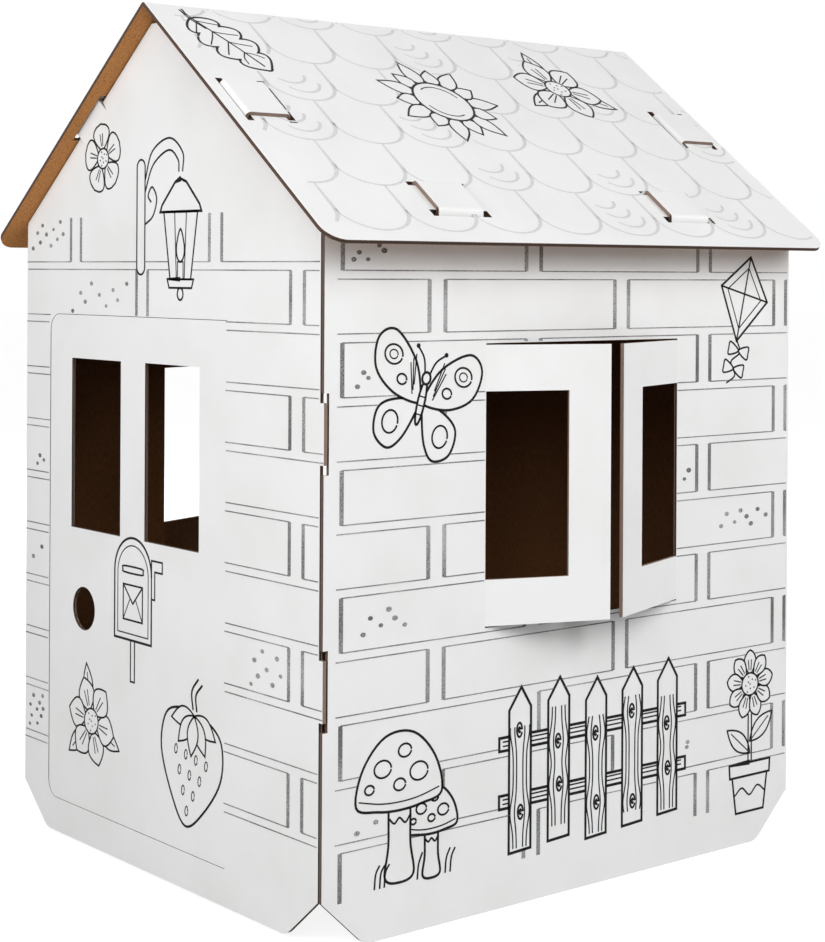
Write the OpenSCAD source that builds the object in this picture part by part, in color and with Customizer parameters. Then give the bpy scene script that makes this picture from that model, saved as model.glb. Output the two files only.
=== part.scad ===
// Children's playhouse, cut and folded from three sheets of corrugated board.
// Millimetres, +Z up. The origin is on the floor under the middle of the house,
// and the gable with the door faces -Y. Two sheets each fold into a gable and a
// side wall. The third folds into the roof, which their tabs hold down.

/* [House] */
// Width over the two side walls
house_w = 727; // [640:1:800]
// Length over the two gables
house_l = 828; // [760:1:960]
// Height of the roof's fold line above the floor
ridge_z = 1149; // [1100:1:1300]
// Thickness of the board
board_t = 5; // [3:0.5:7]
// Inside radius of every fold
fold_r = 1; // [0.5:0.5:3]
// Gap between sheets that rest on each other
seat_gap = 0.3; // [0.1:0.1:1]

/* [Roof] */
// Pitch of the roof in degrees
roof_pitch = 37.5; // [35:0.5:40]
// Length of each slope from the fold line to the eave
slope_len = 516; // [500:1:560]
// How far the roof stands out past each gable
verge = 27; // [10:1:60]
// Radius of the roof's four corners
roof_corner_r = 28; // [5:1:60]
// Width of the flat top of each gable
gable_flat_w = 44; // [20:1:120]
// Gap between a gable's sloping edges and the roof, which the tabs cross
gable_drop = 1.5; // [1:0.5:5]

/* [Roof locks] */
// Width of a lock tab
tab_w = 72; // [40:1:100]
// How far a slot runs on past its tab, at each end
slot_extra = 11; // [2:1:20]
// Play between a tab and the sides of its slot
slot_play = 1.5; // [0.5:0.5:3]
// How far a tab reaches over the roof
tab_reach = 65; // [40:1:90]
// How far a tab's tip goes down under the roof
tab_tuck = 22; // [10:1:40]
// How far a gable tab's root lies below the gable's sloping edge
tab_root = 14; // [10:1:20]
// How far a gable tab leans out of its gable, in degrees
tab_lean = 18; // [5:1:18]
// How far a gable tab stops short of the far side of its second slot
tab_slack = 4; // [1:0.5:6]
// Distance from the fold line to the middle of a gable lock
gable_lock_s = 226; // [150:1:300]
// Distance from the middle of the wall to an eave lock
eave_lock_y = 205; // [120:1:280]

/* [Feet] */
// Width of the slanted cut at each end of a panel
foot_w = 64; // [20:1:100]
// Height of the slanted cut
foot_h = 60; // [20:1:100]
// Radius where the cut meets the bottom edge
foot_r = 30; // [2:1:60]
// Height of the gables' bottom edge above the floor
gable_lift = 6; // [0:1:15]

/* [Corner fingers] */
// Heights of the fingers' middles
finger_z = [307, 608];
// Height of a finger
finger_h = 73; // [40:1:120]
// Gap above and below a finger in its notch
finger_play = 11.5; // [1:0.5:20]
// Gap between a gable's edge and the wall beside it
edge_gap = 2.5; // [0.5:0.5:6]

/* [Door] */
// Width of the door
door_w = 450; // [380:1:480]
// Height of the door
door_h = 684; // [600:1:720]
// Height of the door's lower edge above the floor
door_z = 53; // [30:1:80]
// Distance of the hinge from the middle of the gable
door_hinge_x = 160; // [130:1:180]
// Width of the cut beside the door's free edge and around the shutters
kerf = 2; // [1:0.5:4]
// Width of the cuts over and under the door
door_end_kerf = 0.8; // [0.5:0.1:3]
// Radius of the door's free corners
door_corner_r = 24; // [5:1:60]
// Width of the stiles beside the door's panes
door_stile = 62; // [40:1:80]
// Height of the rail over the panes
door_rail = 61; // [40:1:80]
// Height of the panes
pane_h = 236; // [150:1:300]
// Diameter of the finger hole
hole_d = 60; // [25:1:80]
// Distance of the hole from the door's free edge
hole_x = 98; // [60:1:140]
// Height of the hole above the door's lower edge
hole_z = 277; // [120:1:320]

/* [Windows] */
// Width of a window
window_w = 344; // [240:1:420]
// Height of a window
window_h = 355; // [240:1:420]
// Height of a window's lower edge above the floor
window_z = 355; // [250:1:400]
// Distance of a window from the middle of its wall, towards the folded corner
window_shift = 9; // [0:1:40]
// Angle at which the shutters stand open
shutter_angle = 20; // [5:1:60]
// Height of a shutter's rails
shutter_rail = 58; // [30:1:90]
// Width of a shutter's stile
shutter_stile = 58; // [30:1:90]

/* [Hidden] */
$fn = 48;
// Points on each rounded corner of an outline
corner_steps = 6;
// Overlap that joins the parts of one sheet
join = 12;
bend_r = fold_r + board_t;
roof_l = house_l + 2 * verge;
slot_len = tab_w + 2 * slot_extra;
notch_h = finger_h + 2 * finger_play;
tab_drop = seat_gap + board_t + tab_tuck;
gable_fold_x = -house_w / 2 + bend_r;
gable_free_x = house_w / 2 - board_t - edge_gap;
wall_fold_y = -house_l / 2 + bend_r;
// Distance along the slope at which a side wall's outer face meets the roof's top
eave_slot_s = house_w / 2 / cos(roof_pitch);
wall_top = under_roof(house_w / 2);
// Depth of a gable tab's root below the roof's top
root_depth = board_t + seat_gap + gable_drop + tab_root;

// Height of what seats against the roof from below, at a distance x from the middle
function under_roof(x) =
    ridge_z - abs(x) * tan(roof_pitch) - (board_t + seat_gap) / cos(roof_pitch);

// Height of a gable's sloping edge
function gable_top(x) = under_roof(x) - gable_drop / cos(roof_pitch);

// The outline's corner b between a and c, rounded with the radius that b holds
function corner(a, b, c) =
    let (p = [b[0], b[1]], u = unit([a[0], a[1]] - p), v = unit([c[0], c[1]] - p))
    let (half = acos(u * v) / 2, m = p + unit(u + v) * b[2] / sin(half))
    let (from = p + u * b[2] / tan(half) - m, to = p + v * b[2] / tan(half) - m)
    let (start = atan2(from[1], from[0]), turn = atan2(to[1], to[0]) - start)
    let (sweep = turn > 180 ? turn - 360 : turn < -180 ? turn + 360 : turn)
    [for (i = [0:corner_steps]) m + b[2] * dir(start + sweep * i / corner_steps)];
function unit(v) = v / norm(v);
function dir(angle) = [cos(angle), sin(angle)];

// An outline from points [x, y] and rounded corners [x, y, radius]
function outline(pts) =
    let (n = len(pts))
    [for (i = [0:n - 1])
        each len(pts[i]) < 3 ? [pts[i]] : corner(pts[(i + n - 1) % n], pts[i], pts[(i + 1) % n])];

module rectangle(x0, y0, x1, y1) {
    translate([x0, y0]) square([x1 - x0, y1 - y0]);
}

// A strip of board of this width. Its inner face starts along +X and turns left at the
// end of each leg but the last. The legs are measured to the sharp corners.
module strip(legs, turns, width) {
    last = len(legs);
    inner = [for (i = [0:last]) reach(legs, turns, i)];
    outer = [for (i = [0:last])
        let (half = i == 0 || i == last ? 0 : turns[i - 1] / 2)
        inner[i] + board_t / cos(half) * dir(heading(turns, max(i - 1, 0)) + half - 90)];
    linear_extrude(width) polygon(outline(concat(
        [for (i = [0:last]) ends_sharp(inner[i], i, last, fold_r)],
        [for (i = [last:-1:0]) ends_sharp(outer[i], i, last, bend_r)])));
}
function heading(turns, i) = i == 0 ? 0 : heading(turns, i - 1) + turns[i - 1];
function reach(legs, turns, i) =
    i == 0 ? [0, 0] : reach(legs, turns, i - 1) + legs[i - 1] * dir(heading(turns, i - 1));
function ends_sharp(p, i, last, r) = i == 0 || i == last ? p : [p[0], p[1], r];

// Stands a flat drawing up as the front gable, with its outer face at the front
module as_gable() {
    translate([0, board_t - house_l / 2, 0]) rotate([90, 0, 0]) linear_extrude(board_t) children();
}

// Stands a flat drawing up as the left side wall, with its outer face at the left
module as_wall() {
    translate([-house_w / 2, 0, 0]) rotate([90, 0, 90]) linear_extrude(board_t) children();
}

// Frame of a slope: X runs down it from the fold line and Z is its outer normal
module on_slope(side) {
    mirror([side < 0 ? 1 : 0, 0, 0]) translate([0, 0, ridge_z]) rotate([0, roof_pitch, 0]) children();
}

module gable_shape() {
    fingers = [for (z = finger_z) each [
        [gable_free_x, z - finger_h / 2], [house_w / 2, z - finger_h / 2],
        [house_w / 2, z + finger_h / 2], [gable_free_x, z + finger_h / 2]]];
    flat = gable_flat_w / 2;
    polygon(outline(concat(
        [[gable_fold_x, foot_h], [gable_fold_x + foot_w, gable_lift, foot_r],
         [gable_free_x - foot_w, gable_lift, foot_r], [gable_free_x, foot_h]],
        fingers,
        [[gable_free_x, gable_top(gable_free_x)], [flat, gable_top(flat)],
         [-flat, gable_top(flat)], [gable_fold_x, gable_top(gable_fold_x)]])));
}

module wall_shape() {
    end = house_l / 2;
    depth = board_t + edge_gap;
    notches = [for (z = finger_z) each [
        [end, z - notch_h / 2], [end - depth, z - notch_h / 2],
        [end - depth, z + notch_h / 2], [end, z + notch_h / 2]]];
    difference() {
        polygon(outline(concat(
            [[wall_fold_y, foot_h], [wall_fold_y + foot_w, 0, foot_r],
             [end - foot_w, 0, foot_r], [end, foot_h]],
            notches,
            [[end, wall_top], [wall_fold_y, wall_top]])));
        rectangle(-window_shift - window_w / 2, window_z, window_w / 2 - window_shift, window_z + window_h);
    }
}

// The door stays part of its gable along the hinge
module door_cuts() {
    free = door_hinge_x - door_w;
    top = door_z + door_h;
    pane_w = (door_w - 3 * door_stile) / 2;
    difference() {
        door_shape(free, door_z, top, door_corner_r);
        door_shape(free + kerf, door_z + door_end_kerf, top - door_end_kerf, door_corner_r - kerf);
    }
    for (i = [0, 1])
        translate([free + door_stile + i * (pane_w + door_stile), top - door_rail - pane_h])
            square([pane_w, pane_h]);
    translate([free + hole_x, door_z + hole_z]) circle(d = hole_d);
}

module door_shape(free, low, high, r) {
    polygon(outline([[free, low, r], [door_hinge_x, low], [door_hinge_x, high], [free, high, r]]));
}

// Score line on the inside, along which the door swings
module door_crease() {
    crease_w = 2;
    crease_d = 0.8;
    translate([door_hinge_x - crease_w / 2, board_t - crease_d - house_l / 2, door_z])
        cube([crease_w, 2 * crease_d, door_h]);
}

// One shutter of the left side wall, hinged at y and reaching the way that side gives
module shutter(y, side) {
    low = window_z + kerf;
    high = window_z + window_h - kerf;
    open = (window_w - kerf) / 2 - shutter_stile;
    slack = 2 * board_t;
    translate([-house_w / 2, y, 0]) mirror([0, side < 0 ? 1 : 0, 0]) difference() {
        translate([0, -join, low]) rotate([0, 0, 90])
            strip([join, (window_w - kerf) / 2], [shutter_angle], high - low);
        translate([0, 0, low + shutter_rail]) linear_extrude(high - low - 2 * shutter_rail)
            polygon([[slack, 0], turned([slack, open]), turned([-slack, open]), [-slack, 0]]);
    }
}
function turned(p) =
    p[0] * dir(shutter_angle) + p[1] * dir(shutter_angle + 90);

// Tab on a gable's sloping edge: leaning out, up through the roof, over it and down again
module gable_tab() {
    rise = root_depth + seat_gap;
    flat = tab_reach - tab_slack - 2 * board_t + rise * tan(tab_lean);
    translate([gable_lock_s + tab_w / 2, board_t - house_l / 2, -root_depth - join]) rotate([0, -90, 0])
        strip([join, rise / cos(tab_lean), flat, tab_drop], [-tab_lean, 90 + tab_lean, 90], tab_w);
}

// Tab on the top edge of the left side wall, folded up the slope
module eave_tab(y) {
    inner_x = house_w / 2 - board_t;
    start_z = wall_top - join;
    rise = ridge_z - inner_x * tan(roof_pitch) + seat_gap / cos(roof_pitch) - start_z;
    flat = (inner_x - seat_gap * sin(roof_pitch)) / cos(roof_pitch) - eave_slot_s + tab_reach - board_t;
    translate([-inner_x, y - tab_w / 2, start_z]) rotate([-90, -90, 0])
        strip([rise, flat, tab_drop], [90 - roof_pitch, 90], tab_w);
}

// A gable and the left side wall, folded from one sheet
module half_sheet(has_door) {
    difference() {
        as_gable() difference() {
            gable_shape();
            if (has_door) door_cuts();
        }
        if (has_door) door_crease();
    }
    translate([gable_fold_x + join, board_t - house_l / 2, foot_h]) mirror([1, 0, 0])
        strip([join + fold_r, join + fold_r], [90], wall_top - foot_h);
    as_wall() wall_shape();
    for (side = [-1, 1]) {
        shutter(-window_shift - side * window_w / 2, side);
        on_slope(side) gable_tab();
        eave_tab(side * eave_lock_y);
    }
}

// The slots of one slope, drawn flat
module roof_slots() {
    gable_a = [board_t - board_t / cos(tab_lean) - root_depth * tan(tab_lean) - slot_play,
        board_t - (root_depth - board_t) * tan(tab_lean) + slot_play];
    gable_b = [tab_reach - tab_slack - board_t - slot_play, tab_reach + slot_play];
    s0 = gable_lock_s - slot_len / 2;
    for (side = [-1, 1], slot = [gable_a, gable_b])
        mirror([0, side < 0 ? 0 : 1])
            rectangle(s0, slot[0] - house_l / 2, s0 + slot_len, slot[1] - house_l / 2);
    eave_a = [eave_slot_s - board_t / cos(roof_pitch) - slot_play,
        eave_slot_s + board_t * tan(roof_pitch) + slot_play];
    eave_b = [eave_slot_s - tab_reach - slot_play, eave_slot_s - tab_reach + board_t + slot_play];
    for (side = [-1, 1], slot = [eave_a, eave_b])
        translate([0, side * eave_lock_y]) rectangle(slot[0], -slot_len / 2, slot[1], slot_len / 2);
}

// What the four rounded corners take off one slope, drawn flat
module slope_corners() {
    end = roof_l / 2;
    for (side = [-1, 1])
        mirror([0, side < 0 ? 1 : 0]) difference() {
            rectangle(slope_len - roof_corner_r, end - roof_corner_r, slope_len + join, end + join);
            translate([slope_len - roof_corner_r, end - roof_corner_r]) circle(r = roof_corner_r);
        }
}

// The roof from the front: both slopes and the fold between them
module roof_profile() {
    out = slope_len * dir(-roof_pitch);
    inside = out - board_t * dir(90 - roof_pitch);
    peak = -board_t / cos(roof_pitch);
    polygon(outline([[0, 0, bend_r], out, inside, [0, peak, fold_r],
        [-inside[0], inside[1]], [-out[0], out[1]]]));
}

module door_sheet() {
    color("whitesmoke") half_sheet(true);
}

module window_sheet() {
    color("gainsboro") rotate([0, 0, 180]) half_sheet(false);
}

module roof_sheet() {
    color("white") difference() {
        translate([0, roof_l / 2, ridge_z]) rotate([90, 0, 0]) linear_extrude(roof_l) roof_profile();
        for (side = [-1, 1])
            on_slope(side) translate([0, 0, -2 * board_t]) linear_extrude(3 * board_t) {
                roof_slots();
                slope_corners();
            }
    }
}

door_sheet();
window_sheet();
roof_sheet();
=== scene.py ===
import math
import bpy
import numpy as np
from mathutils import Matrix, Vector


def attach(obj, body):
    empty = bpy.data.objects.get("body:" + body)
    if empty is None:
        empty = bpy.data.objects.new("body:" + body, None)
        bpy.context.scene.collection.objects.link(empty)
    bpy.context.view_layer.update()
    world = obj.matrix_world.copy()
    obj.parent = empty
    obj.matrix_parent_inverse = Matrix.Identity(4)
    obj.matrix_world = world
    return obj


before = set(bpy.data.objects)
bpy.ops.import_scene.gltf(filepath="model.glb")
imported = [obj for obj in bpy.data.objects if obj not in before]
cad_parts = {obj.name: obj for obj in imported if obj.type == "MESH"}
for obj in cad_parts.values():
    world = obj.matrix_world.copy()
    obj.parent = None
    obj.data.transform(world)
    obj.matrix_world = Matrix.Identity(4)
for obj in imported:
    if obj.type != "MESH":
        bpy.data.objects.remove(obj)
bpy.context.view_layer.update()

# Cardboard playhouse for colouring in. Lengths below are millimetres, turned to metres at the mesh.
mm = 0.001

print("sheet planes")
house = {
    "width": 727.0,         # over both side walls
    "length": 828.0,        # over both gables
    "boardT": 5.0,
    "ridgeZ": 1149.0,       # where the outer planes of the two slopes meet
    "pitch": math.radians(37.5),
    "slopeLength": 516.0,
    "roofLength": 882.0,
    "foldRadius": 6.0,      # outside of a folded corner
}
halfW = house["width"] / 2
halfL = house["length"] / 2
cosP = math.cos(house["pitch"])
sinP = math.sin(house["pitch"])


def onPlane(origin, across, up):
    # a plane of the house: where it starts, its two directions and the way it faces
    u = np.array(across, float)
    v = np.array(up, float)
    return {"origin": np.array(origin, float), "u": u, "v": v, "n": np.cross(u, v)}


planes = {
    "frontGable": onPlane((0, -halfL, 0), (1, 0, 0), (0, 0, 1)),
    "backGable": onPlane((0, halfL, 0), (-1, 0, 0), (0, 0, 1)),
    "rightWall": onPlane((halfW, 0, 0), (0, 1, 0), (0, 0, 1)),
    "leftWall": onPlane((-halfW, 0, 0), (0, -1, 0), (0, 0, 1)),
    "rightSlope": onPlane((0, 0, house["ridgeZ"]), (0, 1, 0), (-cosP, 0, sinP)),
    "leftSlope": onPlane((0, 0, house["ridgeZ"]), (0, -1, 0), (cosP, 0, sinP)),
}


# Materials

def fromHex(code):
    # sRGB hex to linear: the lower stretch is a straight line, the rest a power of 2.4
    srgb = [int(code[i:i + 2], 16) / 255 for i in (1, 3, 5)]
    return tuple(c / 12.92 if c <= 0.04045 else ((c + 0.055) / 1.055) ** 2.4 for c in srgb) + (1.0,)


def addNode(tree, kind, links=None, **settings):
    # adds a node, sets its properties or named inputs, and links its inputs from other sockets
    node = tree.nodes.new(kind)
    for name, value in settings.items():
        if hasattr(node, name):
            setattr(node, name, value)
        else:
            node.inputs[name.replace("_", " ")].default_value = value
    for name, socket in (links or {}).items():
        tree.links.new(socket, node.inputs[name])
    return node


def newMaterial(name, roughness):
    material = bpy.data.materials.new(name)
    material.use_nodes = True
    tree = material.node_tree
    shader = tree.nodes["Principled BSDF"]
    shader.inputs["Roughness"].default_value = roughness
    shader.inputs["IOR"].default_value = paperIor
    place = addNode(tree, "ShaderNodeTexCoord").outputs["Object"]
    return material, tree, shader, place


def tint(tree, amount, low, high, start=0.0, end=1.0):
    # a colour that goes from one hex value to another while the amount goes from start to end
    ramp = addNode(tree, "ShaderNodeValToRGB", {"Fac": amount})
    first, last = ramp.color_ramp.elements
    first.position, first.color = start, fromHex(low)
    last.position, last.color = end, fromHex(high)
    return ramp.outputs["Color"]


def compute(tree, operation, *terms):
    # a math node; each term is a number or the socket that brings it
    node = addNode(tree, "ShaderNodeMath", operation=operation)
    for k, term in enumerate(terms):
        if isinstance(term, float):
            node.inputs[k].default_value = term
        else:
            tree.links.new(term, node.inputs[k])
    return node.outputs[0]


def noise(tree, place, scale, octaves, roughness=0.5):
    node = addNode(tree, "ShaderNodeTexNoise", {"Vector": place}, Scale=scale, Detail=octaves,
                   Roughness=roughness)
    return node.outputs["Fac"]


def fluteWave(tree, place, axis, pitchMm):
    # the sine of the place along one axis, one turn to a flute
    split = addNode(tree, "ShaderNodeSeparateXYZ", {"Vector": place})
    angle = compute(tree, "MULTIPLY", split.outputs[axis], 2 * math.pi / (pitchMm * mm))
    return compute(tree, "SINE", angle)


def relief(tree, shader, height, strength, depthMm):
    bump = addNode(tree, "ShaderNodeBump", {"Height": height}, Strength=strength, Distance=depthMm * mm)
    tree.links.new(bump.outputs["Normal"], shader.inputs["Normal"])


paperIor = 1.5

liner = {
    "paper": "#EDEDED", "paperDull": "#E8E8E7",
    # the roof's white is the same liner painted greyer, painted shade that tones the roof down
    "roof": "#E3E3E3", "roofDull": "#DFDFDF",
    "roughness": 0.62,
    "cloudScale": 9.0, "cloudFrom": 0.3, "cloudTo": 0.6,
    "fibreMm": 1.6,
    "fluteMm": 7.6,         # pitch of the flutes that print through the liner
    "fluteShare": 0.6,      # their height against the fibres'
    "relief": 0.10, "reliefMm": 0.25,
}


def whiteLiner(name, fluteAxis, bright, dull):
    # clay-coated white top liner: matt, even, with a faint washboard of the flutes under it
    material, tree, shader, place = newMaterial(name, liner["roughness"])
    cloud = noise(tree, place, liner["cloudScale"], octaves=3)
    colour = tint(tree, cloud, dull, bright, liner["cloudFrom"], liner["cloudTo"])
    tree.links.new(colour, shader.inputs["Base Color"])
    fibre = noise(tree, place, 1 / (liner["fibreMm"] * mm), octaves=2)
    wave = fluteWave(tree, place, fluteAxis, liner["fluteMm"])
    height = compute(tree, "MULTIPLY_ADD", wave, liner["fluteShare"], fibre)
    relief(tree, shader, height, liner["relief"], liner["reliefMm"])
    return material


# The walls' and the roof's kraft are one board: the walls' copy is painted darker, painted shade for the
# inside of the house, and the roof's copy painted lighter, painted light on the roof's underside.
kraft = {
    "litRoofDark": "#A86B33", "litRoofLight": "#CB8D4C",
    "shadedWallDark": "#5D3815", "shadedWallLight": "#7A4B22",
    "roughness": 0.8,
    "fibreMm": 2.2, "fibreStretch": (1.0, 1.0, 0.25), "fibreFrom": 0.3, "fibreTo": 0.7,
    "fleck": "#4E3018", "fleckScale": 420.0, "fleckFrom": 0.66, "fleckTo": 0.74,
    "relief": 0.25, "reliefMm": 0.2,
}


def kraftLiner(name, dark, light):
    # unbleached kraft liner: brown, matt, with long fibres and darker flecks
    material, tree, shader, place = newMaterial(name, kraft["roughness"])
    stretch = addNode(tree, "ShaderNodeMapping", {"Vector": place}, Scale=kraft["fibreStretch"])
    fibre = noise(tree, stretch.outputs[0], 1 / (kraft["fibreMm"] * mm), octaves=4)
    colour = tint(tree, fibre, dark, light, kraft["fibreFrom"], kraft["fibreTo"])
    fleck = noise(tree, place, kraft["fleckScale"], octaves=1)
    spots = addNode(tree, "ShaderNodeMapRange", {"Value": fleck}, From_Min=kraft["fleckFrom"],
                    From_Max=kraft["fleckTo"])
    # inputs 6 and 7 of a colour mix are its two colours and output 2 is the result
    mixed = addNode(tree, "ShaderNodeMix", {0: spots.outputs[0], 6: colour}, data_type="RGBA")
    mixed.inputs[7].default_value = fromHex(kraft["fleck"])
    tree.links.new(mixed.outputs[2], shader.inputs["Base Color"])
    relief(tree, shader, fibre, kraft["relief"], kraft["reliefMm"])
    return material


edge = {
    # the hollow colour is painted shade: the darkness of the open flutes between the paper
    "paper": "#857064", "roofPaper": "#70503D", "hollowShade": "#33251D",
    "roughness": 0.85,
    "fluteMm": 7.6,
    "linerShare": 0.13,     # thickness of a liner as a share of the board
    "mediumShare": 0.09,    # half the thickness of the wavy medium
    "swing": 0.32,          # how far the medium goes to both sides of the board's middle
    "grainScale": 700.0, "grainDark": 0.65, "grainLight": 1.2,
    "relief": 0.5, "reliefMm": 0.5,
}


def cutEdge(name, across, offset, fluteAxis, paperTint):
    # corrugated board cut through: two liners and the wavy medium, light against the open flutes, which are
    # painted dark as painted shade in the hollows.
    # The place across the board is a dot product with the board's own direction; the medium is a sine.
    material, tree, shader, place = newMaterial(name, edge["roughness"])
    folded = addNode(tree, "ShaderNodeVectorMath", {0: place}, operation="ABSOLUTE")
    depth = addNode(tree, "ShaderNodeVectorMath", {0: folded.outputs[0]}, operation="DOT_PRODUCT")
    depth.inputs[1].default_value = across
    share = addNode(tree, "ShaderNodeMapRange", {"Value": depth.outputs["Value"]},
                    From_Min=(offset - house["boardT"]) * mm, From_Max=offset * mm).outputs[0]
    wave = fluteWave(tree, place, fluteAxis, edge["fluteMm"])
    middle = compute(tree, "MULTIPLY_ADD", wave, edge["swing"], 0.5)
    fromMedium = compute(tree, "ABSOLUTE", compute(tree, "SUBTRACT", share, middle))
    medium = compute(tree, "LESS_THAN", fromMedium, edge["mediumShare"])
    fromMiddle = compute(tree, "ABSOLUTE", compute(tree, "SUBTRACT", share, 0.5))
    liners = compute(tree, "GREATER_THAN", fromMiddle, 0.5 - edge["linerShare"])
    paper = compute(tree, "MAXIMUM", medium, liners)
    grain = noise(tree, place, edge["grainScale"], octaves=2)
    shade = addNode(tree, "ShaderNodeMapRange", {"Value": grain}, To_Min=edge["grainDark"],
                    To_Max=edge["grainLight"])
    # paper against the flutes' hollows, which get a dark colour as painted shade
    colour = tint(tree, paper, edge["hollowShade"], paperTint)
    worn = addNode(tree, "ShaderNodeVectorMath", {0: colour, "Scale": shade.outputs[0]}, operation="SCALE")
    tree.links.new(worn.outputs[0], shader.inputs["Base Color"])
    relief(tree, shader, paper, edge["relief"], edge["reliefMm"])
    return material


inks = {
    "brick": {"name": "grey_print_ink", "solid": "#626262", "thin": "#B2B2B2", "grainMm": 1.8,
              "roughness": 0.6, "fade": 0.5},
    "tile": {"name": "pale_grey_print_ink", "solid": "#C4C4C4", "thin": "#D4D4D4", "grainMm": 2.0,
             "roughness": 0.6, "fade": 0.0},
    "line": {"name": "black_print_ink", "solid": "#141414", "thin": "#2A2A2A", "grainMm": 1.5,
             "roughness": 0.5, "fade": 0.0},
    "grainRough": 0.7, "grainFrom": 0.42, "grainTo": 0.62,
    "patchScale": 14.0, "patchMean": 0.5,
    "specular": 0.12,       # ink soaks in, so it shines less than the paper
}


def printInk(kind):
    # flexographic ink on the liner: it breaks up where the paper's fibres lie low, and some stretches
    # of line print paler than others
    made = inks[kind]
    material, tree, shader, place = newMaterial(made["name"], made["roughness"])
    shader.inputs["Specular IOR Level"].default_value = inks["specular"]
    grain = noise(tree, place, 1 / (made["grainMm"] * mm), 3, inks["grainRough"])
    patch = noise(tree, place, inks["patchScale"], octaves=1)
    share = compute(tree, "MULTIPLY_ADD", patch, made["fade"], grain)
    start, end = (inks[limit] + inks["patchMean"] * made["fade"] for limit in ("grainFrom", "grainTo"))
    colour = tint(tree, share, made["solid"], made["thin"], start, end)
    tree.links.new(colour, shader.inputs["Base Color"])
    return material


print("materials")
sheetWhite = whiteLiner("white_top_liner_walls", "X", liner["paper"], liner["paperDull"])
# the roof's white liner is painted greyer than the walls', painted shade
shadedRoofWhite = whiteLiner("white_top_liner_roof_painted_shade", "Y", liner["roof"], liner["roofDull"])
# kraft of the same board in two tones: the walls' copy darker (painted shade), the roof's lighter (painted
# light)
shadedWallKraft = kraftLiner("kraft_inside_liner_walls_painted_shade", kraft["shadedWallDark"], kraft["shadedWallLight"])
litRoofKraft = kraftLiner("kraft_inside_liner_roof_painted_light", kraft["litRoofDark"], kraft["litRoofLight"])
roofRise = house["ridgeZ"] * cosP
edgeGable = cutEdge("corrugated_edge_gable", (0, 1, 0), halfL, "X", edge["paper"])
edgeWall = cutEdge("corrugated_edge_wall", (1, 0, 0), halfW, "Y", edge["paper"])
edgeRoof = cutEdge("corrugated_edge_roof", (sinP, 0, cosP), roofRise, "Y", edge["roofPaper"])
edgeFlap = cutEdge("corrugated_edge_flap", (0, 0, 1), house["boardT"] / 2, "X", edge["paper"])
brickInk, tileInk, lineInk = (printInk(kind) for kind in ("brick", "tile", "line"))


# The three cut and folded sheets keep their own solids; each face gets the side of the board it is

skins = {
    "foldTurn": 50.0,       # faces joined at less than this are one skin, in degrees
    "weldMm": 0.02,
    "facing": 0.995, "nearMm": 0.6,     # how squarely a face lies on a seed plane, and how near
    "slackMm": 0.1,
    "roofUp": 0.3,          # a white face that looks up more than this lies on the roof
}


def gather(items, field, count, kind=float):
    values = np.zeros(len(items) * count, kind)
    items.foreach_get(field, values)
    return values.reshape(-1, count)


def spread(skin, first, second):
    # every face takes the lowest number among its neighbours until each skin has one number
    while True:
        lowest = np.minimum(skin[first], skin[second])
        wider = skin.copy()
        np.minimum.at(wider, first, lowest)
        np.minimum.at(wider, second, lowest)
        wider = wider[wider]
        if (wider == skin).all():
            return skin
        skin = wider


def sortFaces(node, outerSeeds, innerSeeds, finishes):
    # A skin that holds a seed plane is the printed or the kraft side, and what is left are the cut
    # edges: 0 printed, 1 kraft, 2 edge of a flap, 3 of a gable, 4 of a wall, 5 printed on the roof.
    mesh = node.data
    corners = gather(mesh.vertices, "co", 3)
    weld = np.unique(np.round(corners / (skins["weldMm"] * mm)).astype(int), axis=0,
                     return_inverse=True)[1].ravel()
    normals = gather(mesh.polygons, "normal", 3)
    centres = gather(mesh.polygons, "center", 3) / mm
    tri = weld[gather(mesh.loops, "vertex_index", 1, int).ravel()].reshape(-1, 3)
    sides = np.sort(np.concatenate([tri[:, [0, 1]], tri[:, [1, 2]], tri[:, [2, 0]]]), axis=1)
    owner = np.tile(np.arange(len(tri)), 3)
    order = np.lexsort((sides[:, 1], sides[:, 0]))
    sides, owner = sides[order], owner[order]
    same = (sides[1:] == sides[:-1]).all(1)
    first, second = owner[:-1][same], owner[1:][same]
    smooth = (normals[first] * normals[second]).sum(1) > math.cos(math.radians(skins["foldTurn"]))
    skin = spread(np.arange(len(tri)), first[smooth], second[smooth])
    choice = np.full(len(tri), 2)
    for value, seeds in ((1, innerSeeds), (0, outerSeeds)):
        for direction, distance in seeds:
            near = np.abs(centres @ direction - distance) < skins["nearMm"]
            hit = (normals @ direction > skins["facing"]) & near
            choice[np.isin(skin, np.unique(skin[hit]))] = value
    cut = choice == 2
    for value, axis, outside in ((3, 1, halfL), (4, 0, halfW)):
        inward = outside - np.abs(centres[:, axis])
        within = (inward < house["boardT"] + skins["slackMm"]) & (inward > -skins["slackMm"])
        choice[cut & within] = value
    choice[(choice == 0) & (normals[:, 2] > skins["roofUp"])] = 5
    mesh.materials.clear()
    for finish in finishes:
        mesh.materials.append(finish)
    mesh.polygons.foreach_set("material_index", choice.astype(np.int32))
    mesh.update()
    print(node.name, "faces by side:", np.bincount(choice, minlength=len(finishes)).tolist())


def seed(direction, distance):
    return np.array(direction, float), distance


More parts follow.
